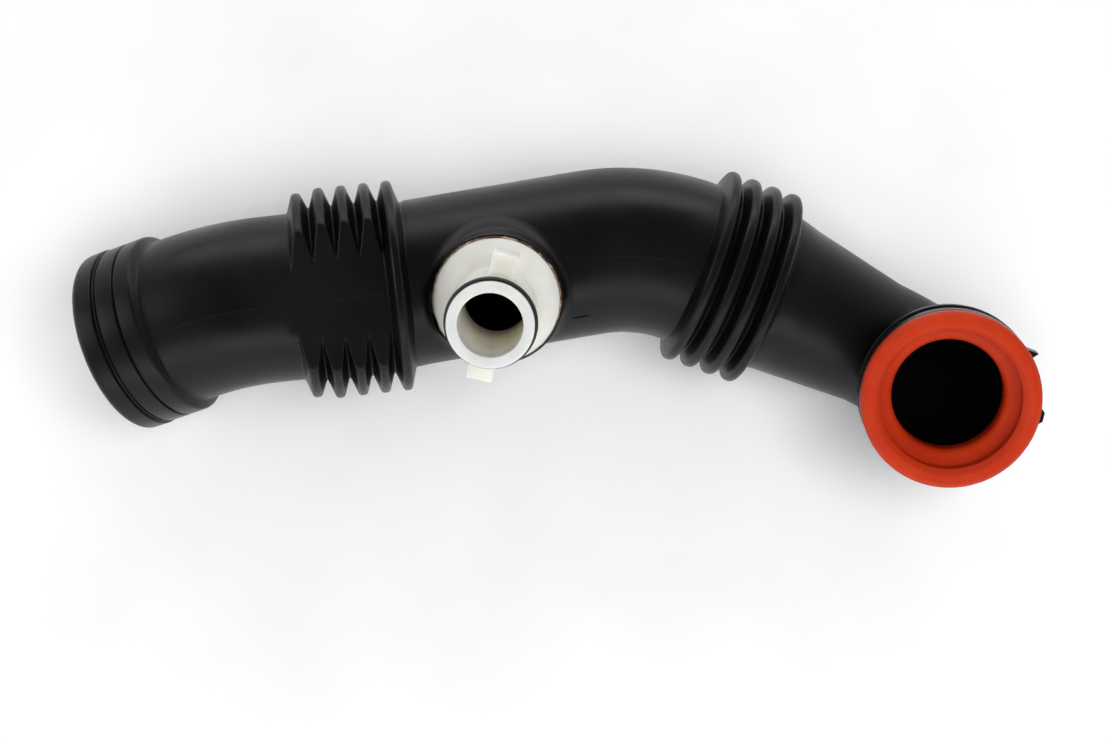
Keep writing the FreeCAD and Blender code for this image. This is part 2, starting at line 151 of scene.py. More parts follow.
# %% Blow-moulded elastomer
def blown_elastomer():
    """Satin black whose gloss wanders, because the blown skin is faintly wavy."""
    material, tree, shader, place = new_material("blow_moulded_elastomer")
    patches = add(tree, NOISE, {"Vector": place, "Scale": features(28.0), "Detail": 3.0})
    waves = add(tree, NOISE, {"Vector": place, "Scale": features(7.0), "Detail": 1.0})
    grain = add(tree, NOISE, {"Vector": place, "Scale": features(0.35), "Detail": 2.0})
    share = add(tree, RANGE, {"Value": patches, **SPREAD})
    tones = {FIRST: colour("#070708"), SECOND: colour("#0c0c0d")}
    wavy = add(tree, BUMP, {"Height": waves, "Distance": 0.12 * MM, "Strength": 0.35})
    feed(tree, shader, {
        "Base Color": add(tree, MIX, {"Factor": share, **tones}, **OF_COLOURS),
        "Roughness": add(tree, RANGE, {"Value": patches, **SPREAD, "To Min": 0.3, "To Max": 0.42}),
        "Normal": add(tree, BUMP, {"Height": grain, "Normal": wavy, "Distance": 0.02 * MM, "Strength": 0.3}),
        "IOR": 1.5,
        "Specular IOR Level": 0.22,
    })
    return material


FINISHES["hose_body"] = blown_elastomer()

# %% [markdown]
# ## Injection-moulded nylon, black
# The collar is hard nylon from a steel mould, so it is more even than the duct and has a fine
# grain. It could share the duct's material, but the two blacks shine differently in the
# photograph. The real grain is finer than a pixel, so it is drawn at 0.3 mm.

# %% Injection-moulded nylon, black
def black_nylon():
    """Even black with a fine moulded grain and crisp highlights on its edges."""
    material, tree, shader, place = new_material("injection_moulded_nylon_black")
    grain = add(tree, NOISE, {"Vector": place, "Scale": features(0.3), "Detail": 2.0})
    clouds = add(tree, NOISE, {"Vector": place, "Scale": features(12.0), "Detail": 2.0})
    share = add(tree, RANGE, {"Value": clouds, **SPREAD})
    tones = {FIRST: colour("#0b0b0c"), SECOND: colour("#101011")}
    feed(tree, shader, {
        "Base Color": add(tree, MIX, {"Factor": share, **tones}, **OF_COLOURS),
        "Roughness": add(tree, RANGE, {"Value": grain, **SPREAD, "To Min": 0.28, "To Max": 0.4}),
        "Normal": add(tree, BUMP, {"Height": grain, "Distance": 0.01 * MM, "Strength": 0.3}),
        "IOR": 1.53,
        "Specular IOR Level": 0.3,
    })
    return material


FINISHES["end_collar"] = black_nylon()

# %% [markdown]
# ## Compression-moulded silicone, orange
# The seal is soft silicone with a dull skin that holds a little dust. One flat colour would look
# like paint. A second noise lays the dust on, and a little subsurface light keeps the shade warm.
# The real grain is finer than a pixel, so it is drawn at 0.5 mm.

# %% Compression-moulded silicone, orange
def orange_silicone():
    """Soft, dull orange-red with a little dust, through which light spreads slightly."""
    material, tree, shader, place = new_material("compression_moulded_silicone_orange")
    clouds = add(tree, NOISE, {"Vector": place, "Scale": features(16.0), "Detail": 3.0})
    dust = add(tree, NOISE, {"Vector": place, "Scale": features(1.2), "Detail": 4.0, "Roughness": 0.7})
    grain = add(tree, NOISE, {"Vector": place, "Scale": features(0.5), "Detail": 2.0})
    share = add(tree, RANGE, {"Value": clouds, **SPREAD})
    tones = {FIRST: colour("#b02a08"), SECOND: colour("#b8330c")}
    clean = add(tree, MIX, {"Factor": share, **tones}, **OF_COLOURS)
    specks = add(tree, RANGE, {"Value": dust, "From Min": 0.55, "From Max": 0.75, "To Max": 0.1})
    dusty = {"Factor": specks, FIRST: clean, SECOND: colour("#e07850")}
    feed(tree, shader, {
        "Base Color": add(tree, MIX, dusty, **OF_COLOURS),
        "Roughness": add(tree, RANGE, {"Value": clouds, **SPREAD, "To Min": 0.5, "To Max": 0.62}),
        "Normal": add(tree, BUMP, {"Height": grain, "Distance": 0.02 * MM, "Strength": 0.3}),
        "IOR": 1.43,
        "Specular IOR Level": 0.3,
        "Subsurface Weight": 0.08,
        "Subsurface Radius": (0.002, 0.0008, 0.0004),
        "Subsurface Scale": 1.0,
    })
    return material


FINISHES["inlet_seal"] = orange_silicone()

# %% [markdown]
# ## Injection-moulded nylon, natural
# The spigot is nylon without pigment, which is milky and has yellowed a little. Plain white would
# look like chalk. Light that enters a thin wall and leaves it nearby is what makes it look like
# nylon, so most of its colour is subsurface. The grain is drawn at 0.4 mm, so that it shows.

# %% Injection-moulded nylon, natural
def natural_nylon():
    """Milky off-white: light passes through its thin walls and warms the bore."""
    material, tree, shader, place = new_material("injection_moulded_nylon_natural")
    clouds = add(tree, NOISE, {"Vector": place, "Scale": features(9.0), "Detail": 3.0})
    grain = add(tree, NOISE, {"Vector": place, "Scale": features(0.4), "Detail": 2.0})
    share = add(tree, RANGE, {"Value": clouds, **SPREAD})
    tones = {FIRST: colour("#dddcd5"), SECOND: colour("#d5d3c9")}
    feed(tree, shader, {
        "Base Color": add(tree, MIX, {"Factor": share, **tones}, **OF_COLOURS),
        "Roughness": add(tree, RANGE, {"Value": clouds, **SPREAD, "To Min": 0.34, "To Max": 0.46}),
        "Normal": add(tree, BUMP, {"Height": grain, "Distance": 0.012 * MM, "Strength": 0.25}),
        "IOR": 1.53,
        "Subsurface Weight": 0.6,
        "Subsurface Radius": (0.012, 0.010, 0.007),
        "Subsurface Scale": 1.0,
    })
    return material


FINISHES["breather_spigot"] = natural_nylon()

# %% [markdown]
# ## Moulded nitrile rubber
# The O-ring is nitrile rubber, duller than the duct. It could take the duct's material, but it
# would then shine like it. The grain is drawn at 0.25 mm, so that it shows.

# %% Moulded nitrile rubber
def nitrile_rubber():
    """Dull black rubber whose soft sheen sets it off from the white nozzle."""
    material, tree, shader, place = new_material("moulded_nitrile_rubber")
    clouds = add(tree, NOISE, {"Vector": place, "Scale": features(3.0), "Detail": 2.0})
    grain = add(tree, NOISE, {"Vector": place, "Scale": features(0.25), "Detail": 2.0})
    share = add(tree, RANGE, {"Value": clouds, **SPREAD})
    tones = {FIRST: colour("#0e0e0f"), SECOND: colour("#19191a")}
    feed(tree, shader, {
        "Base Color": add(tree, MIX, {"Factor": share, **tones}, **OF_COLOURS),
        "Roughness": add(tree, RANGE, {"Value": clouds, **SPREAD, "To Min": 0.4, "To Max": 0.52}),
        "Normal": add(tree, BUMP, {"Height": grain, "Distance": 0.01 * MM, "Strength": 0.3}),
    })
    return material


FINISHES["spigot_o_ring"] = nitrile_rubber()

# %% [markdown]
# ## The duct's route
# The duct is soft, so a finer skin stands for its CAD solid. It follows the same bend chart
# as the CAD source: straights and bends from the cuff's mouth to the neck, in millimetres
# and degrees. Each place along the route is a matrix whose Z axis points along the tube.
# A curve with a bevel could make a plain tube, but not the flat lands of the bellows.

# %% Route
MOUTH_PLACE = (-169.447, -4.61, 32.765)
MOUTH_HEADING, MOUTH_RISE, MOUTH_ROLL = 15.3, 20.4, -20.3
CUFF_STRAIGHT, CUFF_TURN, CUFF_RADIUS = 30.5, 23.5, 80.0
KNEE_ALONG, KNEE_ROLL, KNEE_TURN = 48.4, 125.0, 3.5
RUN_STRAIGHT, MAIN_ROLL, MAIN_TURN, MAIN_RADIUS = 75.1, 305.0, 29.6, 78.0
CROOK_ALONG, CROOK_ROLL, CROOK_TURN = 29.44, 342.4, 6.8
TAPER_STRAIGHT, ELBOW_ROLL, ELBOW_TURN, ELBOW_RADIUS = 50.0, 226.4, 97.5, 26.0
BRANCH_ALONG, BRANCH_ROLL, BRANCH_ASIDE, BRANCH_LEAN, WELD_HEIGHT = 40.5, 225.2, 4.1, 9.0, 36.0


def step(x=0, y=0, z=0, axis="Z", turn=0):
    """A move in millimetres, then a turn in degrees."""
    return Matrix.Translation(Vector((x, y, z)) * MM) @ Matrix.Rotation(math.radians(turn), 4, axis)


def bend(roll, turn, radius):
    """A bend toward the side that roll names."""
    swing = math.radians(turn)
    arc = step(radius * (1 - math.cos(swing)), 0, radius * math.sin(swing), "Y", turn)
    return step(turn=roll) @ arc @ step(turn=-roll)


at_mouth = (step(*MOUTH_PLACE, turn=MOUTH_HEADING) @ step(axis="Y", turn=90 - MOUTH_RISE)
            @ step(turn=MOUTH_ROLL))
at_cuff_bend = at_mouth @ step(z=CUFF_STRAIGHT)
at_long = at_cuff_bend @ bend(0, CUFF_TURN, CUFF_RADIUS)
at_run = at_long @ step(z=KNEE_ALONG) @ bend(KNEE_ROLL, KNEE_TURN, 0)
at_main = at_run @ step(z=RUN_STRAIGHT)
at_short = at_main @ bend(MAIN_ROLL, MAIN_TURN, MAIN_RADIUS)
at_taper = at_short @ step(z=CROOK_ALONG) @ bend(CROOK_ROLL, CROOK_TURN, 0)
at_elbow = at_taper @ step(z=TAPER_STRAIGHT)
at_neck = at_elbow @ bend(ELBOW_ROLL, ELBOW_TURN, ELBOW_RADIUS)
at_weld = (at_run @ step(z=BRANCH_ALONG, turn=BRANCH_ROLL)
           @ step(y=BRANCH_ASIDE, axis="Y", turn=90 + BRANCH_LEAN) @ step(z=WELD_HEIGHT))
for title, spot in (("neck at", at_neck), ("weld at", at_weld)):
    print(title, [round(c / MM, 1) for c in spot.translation])

# %% [markdown]
# ## Profiles
# A profile lists distance along the tube and radius. Its corners are softened as a blown
# skin's are: the rings have round crests, and narrow grooves lie between them. A bevel
# modifier would round all edges by one width, so each corner is rounded here instead.

# %% Rounded corners
# A rounding takes up less than half of a side and has a point for each step of its turn.
SIDE_SHARE, TURN_STEP = 0.49, 0.28


def softened(corners, longest=1.3):
    """Rounds the corners, each (distance, radius, rounding), and splits long stretches."""
    points = [Vector(corners[0][:2])]
    for before, corner, after in zip(corners, corners[1:], corners[2:]):
        here = Vector(corner[:2])
        back, ahead = Vector(before[:2]) - here, Vector(after[:2]) - here
        turn = math.pi - back.angle(ahead)
        side = SIDE_SHARE * min(back.length, ahead.length)
        reach = min(corner[2] * math.tan(turn / 2), side)
        first, last = here + back.normalized() * reach, here + ahead.normalized() * reach
        count = max(2, round(turn / TURN_STEP))
        for index in range(count + 1):
            t = index / count
            points.append(first * (1 - t) ** 2 + here * (2 * t * (1 - t)) + last * t * t)
    points.append(Vector(corners[-1][:2]))
    dense = points[:1]
    for point in points[1:]:
        pieces = math.ceil((point - dense[-1]).length / longest)
        start = dense[-1]
        dense += [start.lerp(point, (index + 1) / pieces) for index in range(pieces)]
    return dense


# %% Profiles
TUBE, TUBE_INSIDE = 31.8, 29.6
TAPER, TAPER_INSIDE = 31.0, 28.8
END, END_INSIDE = 25.2, 23.0
RING_ROOT, FOLD_ROOT = 32.4, 30.2
RING_FLAT, ROW_SINK, ROW_RUN_OUT, BELLOWS_WALL = 1.5, 0.9, 0.6, 1.8
LONG_FIRST, LONG_PITCH, LONG_CRESTS = 13.8, 8.65, [39.2] + 4 * [40.4]
SHORT_FIRST, SHORT_PITCH, SHORT_CRESTS = 4.3, 8.38, 4 * [38.6]
CREST_ROUND, FOLD_ROUND, ROOT_ROUND, FOOT_ROUND = 1.9, 1.0, 0.6, 1.2
CUFF_BORE, CUFF_DEPTH, NECK_END = 32.0, 24.0, 9.0


def row(first, pitch, crests, flat, root, before, after, rounding):
    """Corners of a row of rings between two tubes."""
    slope = pitch / 2 - flat
    start = first - pitch / 2 + slope * ROW_SINK / (crests[0] - before + ROW_SINK)
    corners = [(start, before, FOOT_ROUND)]
    for index, crest in enumerate(crests):
        middle = first + index * pitch
        tops = (middle - flat, middle + flat) if flat else (middle,)
        corners += [(top, crest, rounding) for top in tops]
        corners.append((middle + pitch / 2, root, ROOT_ROUND))
    end = corners[-1][0] - slope * ROW_SINK / (crests[-1] - after + ROW_SINK)
    last = first + (len(crests) - 0.5) * pitch + ROW_RUN_OUT
    return corners[:-1] + [(end, after, FOOT_ROUND), (last, after, 0)]


def folds(crests):
    """Crests of the folds inside, one wall below the rings."""
    return [crest - BELLOWS_WALL for crest in crests]


CUFF_SKIN = softened([
    (0, 32.5, 0), (0, 33.6, 0.9), (1.6, 35.2, 3.0), (8.4, 35.3, 0.5),
    (8.75, 34.1, 0.25), (9.15, 34.1, 0.2), (9.3, 34.75, 0.15), (9.75, 34.75, 0.15), (9.9, 34.1, 0.2),
    (10.35, 34.1, 0.25), (10.7, 34.9, 0.5), (17.55, 34.9, 0.4), (17.9, 33.9, 0.2), (18.4, 33.9, 0.2),
    (18.7, 34.9, 0.5), (25.4, 34.9, 1.6), (27.0, TUBE, 1.0), (CUFF_STRAIGHT, TUBE, 0),
], 3.5)
CUFF_INSIDE = softened([(0, 32.5, 0), (0.6, CUFF_BORE, 0.5), (CUFF_DEPTH, CUFF_BORE, 0.3),
                        (CUFF_DEPTH, TUBE_INSIDE, 0.3), (CUFF_STRAIGHT, TUBE_INSIDE, 0)], 8.0)
LONG_SKIN = softened([(0, TUBE, 0)] + row(LONG_FIRST, LONG_PITCH, LONG_CRESTS, RING_FLAT, RING_ROOT,
                                          TUBE, TUBE, CREST_ROUND))
LONG_INSIDE = softened([(0, TUBE_INSIDE, 0)] + row(LONG_FIRST, LONG_PITCH, folds(LONG_CRESTS), 0,
                                                   FOLD_ROOT, TUBE_INSIDE, TUBE_INSIDE, FOLD_ROUND), 2.5)
SHORT_SKIN = softened([(0, TUBE, 0)] + row(SHORT_FIRST, SHORT_PITCH, SHORT_CRESTS, RING_FLAT, RING_ROOT,
                                           TUBE, TAPER, CREST_ROUND))
SHORT_INSIDE = softened([(0, TUBE_INSIDE, 0)] + row(SHORT_FIRST, SHORT_PITCH, folds(SHORT_CRESTS), 0,
                                                    FOLD_ROOT, TUBE_INSIDE, TAPER_INSIDE, FOLD_ROUND), 4.0)
print("stations in the bellows:", len(LONG_SKIN), len(SHORT_SKIN))

# %% [markdown]
# ## Stations
# A station is a place, a radius and, in the long bellows, the distance of the two flat
# lands from the axis. The lands cut the rings off on two opposite sides. A boolean cut would
# leave hard edges, so each point is drawn in to the land and the edge is blended.

# %% Stations
LAND, LAND_INSIDE, LAND_ANGLE = 29.6, 27.8, math.radians(218.0)
LAND_START, LAND_END = 6.5, LONG_FIRST + 3.5 * LONG_PITCH
LAND_EASE, LAND_OVER = 3.0, 0.1
CUFF_STEPS, KNEE_STEPS, MAIN_STEPS, CROOK_STEPS, ELBOW_STEPS = 14, 5, 18, 6, 36
RUN_PLACES = (8, 12, *range(16, 72, 4), RUN_STRAIGHT)
TAPER_PLACES = (11, 14, 20, 28, 36, 43, TAPER_STRAIGHT)
NECK_PLACES = (0, NECK_END / 2, NECK_END)


def stretch(place, profile, land=None):
    """Stations of a profile along a straight."""
    return [(place @ step(z=point.x), point.y, land(point.x) if land else None) for point in profile]


def bent(place, roll, turn, radius, tube, count):
    """Stations within a bend, without its two ends."""
    return [(place @ bend(roll, turn * index / count, radius), tube, None) for index in range(1, count)]


def eased(first, last, count):
    """Stations between two stations that face different ways."""
    made = []
    for index in range(1, count):
        t = index / count
        turn = first[0].to_quaternion().slerp(last[0].to_quaternion(), t).to_matrix().to_4x4()
        place = Matrix.Translation(first[0].translation.lerp(last[0].translation, t)) @ turn
        made.append((place, first[1] + (last[1] - first[1]) * t, None))
    return made


def land_outside(z):
    """The land's distance, which eases in from the tube's own radius."""
    t = min(max((z - LAND_START + LAND_EASE / 2) / LAND_EASE, 0), 1)
    start = TUBE + LAND_OVER
    return None if z > LAND_END else start - (start - LAND) * t * t * (3 - 2 * t)


def land_inside(z):
    """The same land on the inside, one wall nearer to the axis."""
    return LAND_INSIDE if LAND_START < z < LAND_END else None


def duct(cuff, long_row, land, tube, short_row, taper, end):
    """Stations from the mouth to the neck's end, for the outside or the inside."""
    stations = stretch(at_mouth, cuff)
    stations += bent(at_cuff_bend, 0, CUFF_TURN, CUFF_RADIUS, tube, CUFF_STEPS)
    stations += stretch(at_long, long_row, land)
    run = stretch(at_run, [Vector((z, tube)) for z in RUN_PLACES])
    stations += eased(stations[-1], run[0], KNEE_STEPS) + run
    stations += bent(at_main, MAIN_ROLL, MAIN_TURN, MAIN_RADIUS, tube, MAIN_STEPS)
    stations += stretch(at_short, short_row)
    narrow = [Vector((z, taper + (end - taper) * z / TAPER_STRAIGHT)) for z in TAPER_PLACES]
    first = (at_taper @ step(z=narrow[0].x), narrow[0].y, None)
    stations += eased(stations[-1], first, CROOK_STEPS) + stretch(at_taper, narrow)
    stations += bent(at_elbow, ELBOW_ROLL, ELBOW_TURN, ELBOW_RADIUS, end, ELBOW_STEPS)
    return stations + stretch(at_neck, [Vector((z, end)) for z in NECK_PLACES])


outside = duct(CUFF_SKIN, LONG_SKIN, land_outside, TUBE, SHORT_SKIN, TAPER, END)
inside = duct(CUFF_INSIDE, LONG_INSIDE, land_inside, TUBE_INSIDE, SHORT_INSIDE, TAPER_INSIDE, END_INSIDE)
print("stations outside", len(outside), "inside", len(inside))

# %% [markdown]
# ## Points and pieces
# Every point of the skin lies at an angle about one station. Where there is a land, the point is
# drawn in to it. A sculpted mesh could show the same, but a formula keeps the CAD's sizes. A new
# mesh is named, given its material, and rides on the object's one body.

# %% Points and pieces
EDGE_BLEND, EDGE_SINK, NEAR_ZERO = 0.8, 0.2, 0.01


def surface(station, angle):
    """A point of the skin, in metres."""
    place, radius, land = station
    if land is not None:
        flat = land / max(abs(math.cos(angle - LAND_ANGLE)), NEAR_ZERO)
        blend = max(EDGE_BLEND - abs(radius - flat), 0) / EDGE_BLEND
        radius = min(radius, flat) - EDGE_SINK * blend * blend
    return place @ (Vector((math.cos(angle), math.sin(angle), 0)) * radius * MM)


def new_piece(name, points, faces, material, slot):
    """A smooth mesh that rides on the object's one body."""
    mesh = bpy.data.meshes.new(name)
    mesh.from_pydata(points, [], faces)
    mesh.update()
    for polygon in mesh.polygons:
        polygon.use_smooth = True
    mesh.materials.append(material)
    piece = bpy.data.objects.new(name, mesh)
    bpy.context.scene.collection.objects.link(piece)
    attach(piece, "root")
    return piece


# %% [markdown]
# ## Weld boss
# The branch is welded to a round boss that is blown with the duct. A cylinder joined by a boolean
# would leave a hard seam. Here rows of points run from the hole over the rim and down the wall,
# and a curved foot meets the tube, so the boss grows out of the skin.

# %% Weld boss
BOSS, BOSS_HOLE, BOSS_FOOT, FOOT_SINK, BOSS_COVER = 24.8, 13.6, 4.0, 0.04, 1.5
# Steps from the hole and from the boss's wall, each as (outward, height above the weld face).
RIM_DROP = 0.7
HOLE_RIM = ((0, -0.6), (0.4, -0.05))
WALL_RIM = ((-0.9, -0.05), (-0.35, -0.12), (-0.1, -0.35), (0, -RIM_DROP))
WALL_ROWS, FOOT_ROWS = 5, 6


def height_on_tube(x, y, radius):
    """Height above the weld face at which the run's tube lies, in the branch's own frame."""
    to_branch = at_weld.inverted()
    axis = (to_branch.to_3x3() @ at_run.col[2].xyz).normalized()
    offset = Vector((x, y, 0)) - (to_branch @ at_run.translation) / MM
    across = offset - axis * offset.dot(axis)
    upright = Vector((0, 0, 1)) - axis * axis.z
    a, b, c = upright.dot(upright), across.dot(upright), across.dot(across) - radius ** 2
    return (-b + math.sqrt(max(b * b - a * c, 0))) / a


def about_weld(radius, angle, height):
    """A point round the branch's axis, in metres."""
    return at_weld @ (Vector((radius * math.cos(angle), radius * math.sin(angle), height)) * MM)


def boss_rows():
    """Radius and height of the boss's rows, each as a function of a point's direction."""
    def on(radius, lift, tube):
        return lambda x, y: (radius, height_on_tube(x * radius, y * radius, tube) + lift)

    def at(radius, height):
        return lambda x, y: (radius, height)

    def part_way(share):
        foot = on(BOSS, BOSS_FOOT, TUBE)
        return lambda x, y: (BOSS, -RIM_DROP + (foot(x, y)[1] + RIM_DROP) * share)

    rows = [on(BOSS_HOLE, 0, TUBE_INSIDE)]
    rows += [at(BOSS_HOLE + outward, height) for outward, height in HOLE_RIM]
    rows += [at(BOSS + outward, height) for outward, height in WALL_RIM]
    rows += [part_way((index + 1) / WALL_ROWS) for index in range(WALL_ROWS)]
    for index in range(FOOT_ROWS):
        swing = math.radians(90 * (index + 1) / FOOT_ROWS)
        reach, lift = BOSS_FOOT * (1 - math.cos(swing)), BOSS_FOOT * (1 - math.sin(swing))
        rows.append(on(BOSS + reach, lift - FOOT_SINK, TUBE))
    return rows


print("rows of the boss:", len(boss_rows()))

# %% [markdown]
# ## The duct's skin
# The outside and the inside are one closed sheet, with a round hole where the branch leaves and
# the boss on that hole. Subdivision could smooth a coarse tube, but it would shrink the rings.
# Rows of points joined by four-sided faces keep the shading smooth along the whole duct.

# %% Skin
COLUMNS = 144
# Points beyond this height or on the far side of the tube don't count as near the branch.
OVER_WELD, FAR_OFF = 1, 1000


def duct_skin():
    """Points and faces of the duct, its hole and its boss."""
    stations = outside + inside[::-1]
    angles = [math.tau * column / COLUMNS for column in range(COLUMNS)]
    points = [surface(station, angle) for station in stations for angle in angles]
    to_branch = at_weld.inverted()
    local = [to_branch @ point / MM for point in points]
    spread = [math.hypot(p.x, p.y) if -WELD_HEIGHT < p.z < OVER_WELD else FAR_OFF for p in local]
    kept, edge = [], set()
    for index in range(len(stations)):
        follow = (index + 1) % len(stations)
        limit = BOSS - BOSS_COVER if index < len(outside) else BOSS_HOLE
        for column in range(COLUMNS):
            side = (column + 1) % COLUMNS
            corners = ((index, column), (index, side), (follow, side), (follow, column))
            face = [r * COLUMNS + c for r, c in corners]
            if sum(spread[corner] for corner in face) / 4 > limit:
                kept.append(face)
            elif index >= len(outside):
                edge.update(face)
    for corner in edge.intersection(corner for face in kept for corner in face):
        x, y = local[corner].xy * (BOSS_HOLE / spread[corner])
        points[corner] = at_weld @ (Vector((x, y, height_on_tube(x, y, TUBE_INSIDE))) * MM)
    rows, first = boss_rows(), len(points)
    for make in rows:
        for angle in angles:
            radius, height = make(math.cos(angle), math.sin(angle))
            points.append(about_weld(radius, angle, height))
    for index in range(len(rows) - 1):
        for column in range(COLUMNS):
            side = (column + 1) % COLUMNS
            corners = ((index, column), (index + 1, column), (index + 1, side), (index, side))
            kept.append([first + r * COLUMNS + c for r, c in corners])
    return points, kept


skin = new_piece("hose_skin", *duct_skin(), FINISHES["hose_body"], "hose")
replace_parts(skin, "hose_body")
print("hose skin:", len(skin.data.polygons), "faces")

# %% [markdown]
# ## Split lines and a nick
# A blow mould leaves a fine raised line where its halves meet, and a short dark nick lies beside
# the branch. Bump could only shade these marks, and cutting them in would mean a finer mesh all
# over. Each is a thin strip that follows the skin's own stations, so it lies close to it.

# %% Split lines and a nick
SPLIT_WAY = Vector((0.0, -0.33, 0.944))
NICK_WAY = Vector((0.0, -0.88, 0.47))
SPLIT_LINES = {"split_line_cuff": (-141, -111), "split_line_land": (-103, -68), "split_line_bend": (8, 46)}
SPLIT_WIDTH, SPLIT_RISE = 0.4, 0.04
RIDGE_TOP, RIDGE_SINK = 0.4, 0.05
NICK_START, NICK_STEP, NICK_COUNT = 62.5, 0.5, 16
NICK_WIDTH, NICK_RISE, NICK_INSET, NICK_BLUNT = 1.5, 0.03, 0.4, 0.6


def facing(station, way):
    """The angle about the tube that faces a way in the room."""
    local = station[0].to_3x3().inverted() @ way
    return math.atan2(local.y, local.x)


def ribbon(name, stations, way, widths, height, material):
    """A low ridge along the skin."""
    points, faces = [], []
    section = ((-1, -RIDGE_SINK), (-RIDGE_TOP, height), (RIDGE_TOP, height), (1, -RIDGE_SINK))
    for station, width in zip(stations, widths):
        middle = facing(station, way)
        half = width / 2 / station[1]
        for share, lift in section:
            point = surface(station, middle + half * share)
            out = (point - station[0].translation).normalized()
            points.append(point + out * lift * MM)
    for index in range(len(stations) - 1):
        for side in range(3):
            corner = index * 4 + side
            faces.append([corner, corner + 1, corner + 5, corner + 4])
    return new_piece(name, points, faces, material, "hose")


def torn_elastomer():
    """The dull inside of the skin, where a nick has opened it."""
    material, tree, shader, place = new_material("torn_elastomer_dull")
    crumbs = add(tree, NOISE, {"Vector": place, "Scale": features(0.8), "Detail": 3.0})
    share = add(tree, RANGE, {"Value": crumbs, **SPREAD})
    tones = {FIRST: colour("#010101"), SECOND: colour("#050505")}
    feed(tree, shader, {
        "Base Color": add(tree, MIX, {"Factor": share, **tones}, **OF_COLOURS),
        "Roughness": add(tree, RANGE, {"Value": crumbs, **SPREAD, "To Min": 0.8, "To Max": 0.95}),
        "Specular IOR Level": 0.05,
    })
    return material


def between_stations(start, end):
    """Outside stations whose places lie between two distances along X, in millimetres."""
    return [station for station in outside if start * MM <= station[0].translation.x <= end * MM]


for name, (start, end) in SPLIT_LINES.items():
    line = between_stations(start, end)
    ribbon(name, line, SPLIT_WAY, [SPLIT_WIDTH] * len(line), SPLIT_RISE, FINISHES["hose_body"])

nick_places = [NICK_START + NICK_STEP * index for index in range(NICK_COUNT)]
nick_stations = stretch(at_run, [Vector((z, TUBE)) for z in nick_places])
nick_span = NICK_COUNT - 1 + 2 * NICK_INSET
nick_widths = [NICK_WIDTH * math.sin(math.pi * (index + NICK_INSET) / nick_span) ** NICK_BLUNT
               for index in range(NICK_COUNT)]
ribbon("skin_nick", nick_stations, NICK_WAY, nick_widths, NICK_RISE, torn_elastomer())
print("split lines:", len(SPLIT_LINES), "nick:", nick_places[-1] - nick_places[0], "mm")

# %% [markdown]
# ## Weld bead
# The branch was welded on with heat, which left an uneven, scorched bead of melt round its
# flange. A torus could be laid there and roughened by a modifier. Here its section swells and
# shrinks with three waves that don't fall in step, so the same bead comes out in every run.

# %% Weld bead
BEAD_RADIUS, BEAD_SECTION, BEAD_HEIGHT = 23.55, 0.5, 0.1
LUMP, LUMP_WAVES, LUMP_SHIFT, GROUP_WAVES = 0.25, 17, 1.3, 5
RIPPLE, RIPPLE_WAVES = 0.12, 43


def scorched_nylon():
    """Melt that ranges from cream to burnt brown, with a rough skin."""
    material, tree, shader, place = new_material("welded_nylon_scorched")
    burn = add(tree, NOISE, {"Vector": place, "Scale": features(5.0), "Detail": 4.0, "Roughness": 0.6})
    crust = add(tree, NOISE, {"Vector": place, "Scale": features(0.6), "Detail": 3.0})
    share = add(tree, RANGE, {"Value": burn, "From Min": 0.42, "From Max": 0.6})
    tones = {FIRST: colour("#3a1c0c"), SECOND: colour("#a98f6c")}
    feed(tree, shader, {
        "Base Color": add(tree, MIX, {"Factor": share, **tones}, **OF_COLOURS),
        "Roughness": add(tree, RANGE, {"Value": burn, **SPREAD, "To Min": 0.3, "To Max": 0.55}),
        "Normal": add(tree, BUMP, {"Height": crust, "Distance": 0.06 * MM, "Strength": 0.5}),
    })
    return material


def ring_faces(count, sides):
    """Faces of a closed ring of closed sections."""
    return [[index * sides + side, (index + 1) % count * sides + side,
             (index + 1) % count * sides + (side + 1) % sides, index * sides + (side + 1) % sides]
            for index in range(count) for side in range(sides)]


def weld_bead(radius, section, count=180, sides=8):
    """A bead of melt round the flange's foot, a little uneven."""
    points = []
    for index in range(count):
        angle = math.tau * index / count
        lumps = LUMP * math.sin(angle * LUMP_WAVES + LUMP_SHIFT) * math.sin(angle * GROUP_WAVES)
        swell = section * (1 + lumps + RIPPLE * math.sin(angle * RIPPLE_WAVES))
        for side in range(sides):
            turn = math.tau * side / sides
            reach = radius + swell * math.cos(turn)
            points.append(about_weld(reach, angle, BEAD_HEIGHT + swell * math.sin(turn)))
    return new_piece("weld_bead", points, ring_faces(count, sides), scorched_nylon(), "spigot")


bead = weld_bead(BEAD_RADIUS, BEAD_SECTION)
print("weld bead:", len(bead.data.polygons), "faces")

# %% [markdown]
# ## O-ring
# The CAD ring has a plain section that ends almost level with the nozzle. A real O-ring is
# round and stands out of its groove until a pipe squeezes it, so a round one takes its place.
# Blender has a ready torus, but this section is a little deeper than it is wide.

# %% O-ring
RING_HEIGHT, RING_OUTSIDE, RING_DEEP, RING_WIDE = 35.9, 16.9, 3.9, 3.2


def o_ring(count=128, sides=20):
    """A rounded ring in the nozzle's groove."""
    points = []
    for index in range(count):
        angle = math.tau * index / count
        for side in range(sides):
            turn = math.tau * side / sides
            reach = RING_OUTSIDE - RING_DEEP / 2 * (1 - math.cos(turn))
            points.append(about_weld(reach, angle, RING_HEIGHT + RING_WIDE / 2 * math.sin(turn)))
    return new_piece("round_o_ring", points, ring_faces(count, sides), FINISHES["spigot_o_ring"], "o_ring")


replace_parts(o_ring(), "spigot_o_ring")

# %% [markdown]
# ## Hard parts
# The collar, the seal and the spigot are mouldings, and a moulding has no sharp edges. They
# could be modelled again with round edges, but then they might leave their CAD sizes. Each
# node is given its material, smooth shading and a small bevel as a modifier, and the CAD mesh
# itself stays as it is.

